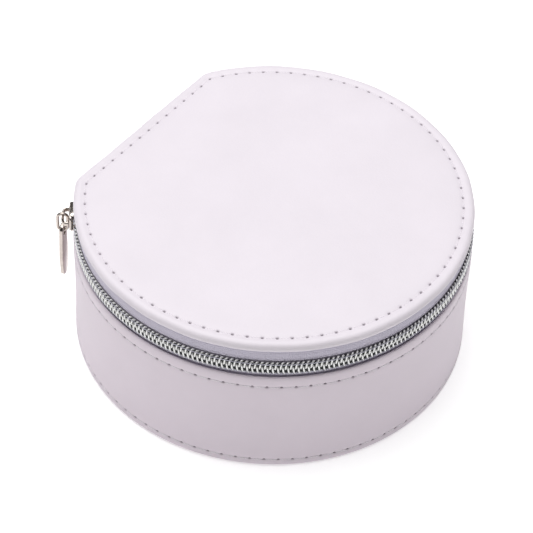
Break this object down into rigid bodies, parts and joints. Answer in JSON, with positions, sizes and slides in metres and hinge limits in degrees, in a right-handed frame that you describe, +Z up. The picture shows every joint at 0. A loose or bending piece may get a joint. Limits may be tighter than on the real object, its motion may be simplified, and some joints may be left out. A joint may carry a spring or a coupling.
{
  "type": "jewelry box",
  "caption": "D-shaped zip-around jewelry box with a flat-hinged lid, rolled rim, coil zipper, lid mirror, ring rolls and covered partitions.",
  "frame": {"origin": "on the underside, on the axis of the round wall", "axes": "+Z up, out through the lid; +Y towards the flat hinge side; -Y is the front"},
  "size_m": [0.1106, 0.1034, 0.0482],
  "materials": {
    "leather": "fine-grained imitation leather, off-white with a lilac cast",
    "lining": "short-pile velvet, pale lilac grey",
    "board": "grey pulp board",
    "foam": "soft open foam",
    "tape": "woven zipper tape, lavender grey",
    "coil": "silver-coated coil",
    "nickel": "polished nickel, slightly warm",
    "mirror": "silvered glass",
    "thread": "waxed thread, a shade darker than the leather"
  },
  "bodies": {
    "base": {"bottom_cover": "leather", "floor_board": "board", "floor_lining": "lining", "side_wrap": "leather", "wall_board": "board", "wall_lining": "lining", "body_upper_stitching": "thread", "body_lower_stitching": "thread", "partition_left": "lining", "partition_right": "lining", "partition_cross": "lining", "divider_left": "lining", "divider_right": "lining", "ring_pad": "foam", "ring_roll_1": "lining", "ring_roll_2": "lining", "ring_roll_3": "lining", "ring_roll_4": "lining", "lower_zip_tape": "tape", "lower_zip_coil": "coil", "lower_end_stops": "nickel", "hinge_lower_leaf": "leather"},
    "lid": {"lid_cover": "leather", "lid_padding": "foam", "lid_board": "board", "lid_lining": "lining", "lid_mirror": "mirror", "lid_stitching": "thread", "upper_zip_tape": "tape", "upper_zip_coil": "coil", "upper_end_stops": "nickel", "hinge_upper_leaf": "leather"},
    "slider": {"slider_body": "nickel", "slider_crown": "nickel"},
    "pull_ring": {"pull_ring": "nickel"},
    "pull_tab": {"pull_tab": "nickel"}
  },
  "joints": [
    {"name": "lid_hinge", "type": "hinge", "parent": "base", "child": "lid", "pos_m": [0, 0.04595, 0.0392], "axis": [-1, 0, 0], "range_deg": [0, 110]},
    {"name": "slider_travel", "type": "hinge", "parent": "base", "child": "slider", "pos_m": [0, 0, 0.0392], "axis": [0, 0, 1], "range_deg": [0, 284]},
    {"name": "pull_ring_swing", "type": "hinge", "parent": "slider", "child": "pull_ring", "pos_m": [-0.03522, 0.0459, 0.0392], "axis": [0.7934, 0.6088, 0], "range_deg": [0, 90]},
    {"name": "pull_tab_swing", "type": "hinge", "parent": "pull_ring", "child": "pull_tab", "pos_m": [-0.03528, 0.04598, 0.0342], "axis": [-0.3987, 0.9171, 0], "range_deg": [-40, 40]}
  ]
}
